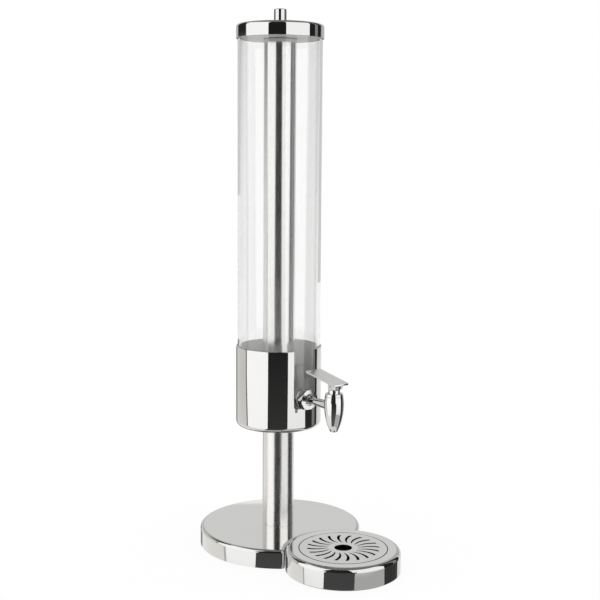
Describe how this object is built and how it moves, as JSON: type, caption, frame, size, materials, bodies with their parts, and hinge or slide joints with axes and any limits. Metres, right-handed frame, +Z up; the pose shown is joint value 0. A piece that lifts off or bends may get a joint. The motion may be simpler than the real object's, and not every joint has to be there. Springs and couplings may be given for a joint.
{
  "type": "beer tower dispenser",
  "caption": "Tabletop drink tower: clear upright tank with an inner ice tube in a steel cup on a column, with a lever tap, a lid, a round base and a nested round drip tray.",
  "frame": {"origin": "the foot of the column's axis on the table", "axes": "+Z up along the column and tank, -Y towards the tap and the drip tray, +X to the right of someone facing the tap"},
  "size_m": [0.216, 0.314, 0.7077],
  "materials": {
    "polished_steel": "mirror polished stainless sheet",
    "satin_steel": "satin stainless sheet",
    "sheet_steel": "plain rolled stainless sheet",
    "tap_chrome": "polished chrome plate",
    "fastener_steel": "bright turned steel",
    "weight_iron": "rough cast",
    "valve_brass": "turned brass",
    "black_rubber": "matt moulded rubber",
    "grey_plastic": "fine matt moulded plastic",
    "clear_tank": "clear polished acrylic",
    "clear_floor": "clear moulded acrylic",
    "clear_seal": "translucent silicone"
  },
  "bodies": {
    "stand": {"base_shell": "polished_steel", "base_plate": "sheet_steel", "base_weight": "weight_iron", "base_pad": "black_rubber", "column_tube": "polished_steel", "column_foot": "sheet_steel", "column_head": "sheet_steel", "column_bolt": "fastener_steel", "column_washer": "fastener_steel", "cup": "polished_steel", "cup_screws": "fastener_steel", "cup_pad": "black_rubber"},
    "tank": {"tank_tube": "clear_tank", "tank_floor": "clear_floor", "tap_body": "tap_chrome", "tap_bonnet": "tap_chrome", "union_nut": "tap_chrome", "outer_gasket": "clear_seal", "inner_gasket": "clear_seal", "lock_nut": "fastener_steel", "valve_spring": "fastener_steel"},
    "valve": {"valve_stem": "fastener_steel", "stem_collar": "valve_brass", "seat_washer": "black_rubber"},
    "lever": {"lever": "tap_chrome", "pivot_pin": "fastener_steel"},
    "ice_tube": {"ice_tube": "polished_steel", "ice_tube_foot": "grey_plastic", "ice_tube_collar": "grey_plastic"},
    "lid": {"lid_shell": "polished_steel", "lid_insert": "grey_plastic", "lid_seal": "clear_seal", "lid_knob": "polished_steel", "knob_screw": "fastener_steel"},
    "drip_tray": {"tray_shell": "polished_steel", "drip_bowl": "sheet_steel", "tray_plate": "sheet_steel", "tray_pad": "black_rubber"},
    "grate": {"grate": "satin_steel"}
  },
  "joints": [
    {"name": "tank_lift", "type": "slide", "parent": "stand", "child": "tank", "axis": [0, 0, 1], "range_m": [0, 0.12]},
    {"name": "stem_lift", "type": "slide", "parent": "tank", "child": "valve", "axis": [0, 0, 1], "range_m": [0, 0.002], "deforming": ["valve_spring"]},
    {"name": "lever_turn", "type": "hinge", "parent": "valve", "child": "lever", "pos_m": [0, -0.1165, 0.2346], "axis": [1, 0, 0], "range_deg": [0, 40]},
    {"name": "ice_tube_lift", "type": "slide", "parent": "tank", "child": "ice_tube", "axis": [0, 0, 1], "range_m": [0, 0.51]},
    {"name": "lid_lift", "type": "slide", "parent": "ice_tube", "child": "lid", "axis": [0, 0, 1], "range_m": [0, 0.06]},
    {"name": "tray_pull", "type": "slide", "parent": "stand", "child": "drip_tray", "axis": [0, -1, 0], "range_m": [0, 0.15]},
    {"name": "grate_lift", "type": "slide", "parent": "drip_tray", "child": "grate", "axis": [0, 0, 1], "range_m": [0, 0.03]}
  ],
  "couplings": [
    {"joint": "stem_lift", "follows": "lever_turn", "m_per_rad": 0.0028648}
  ]
}
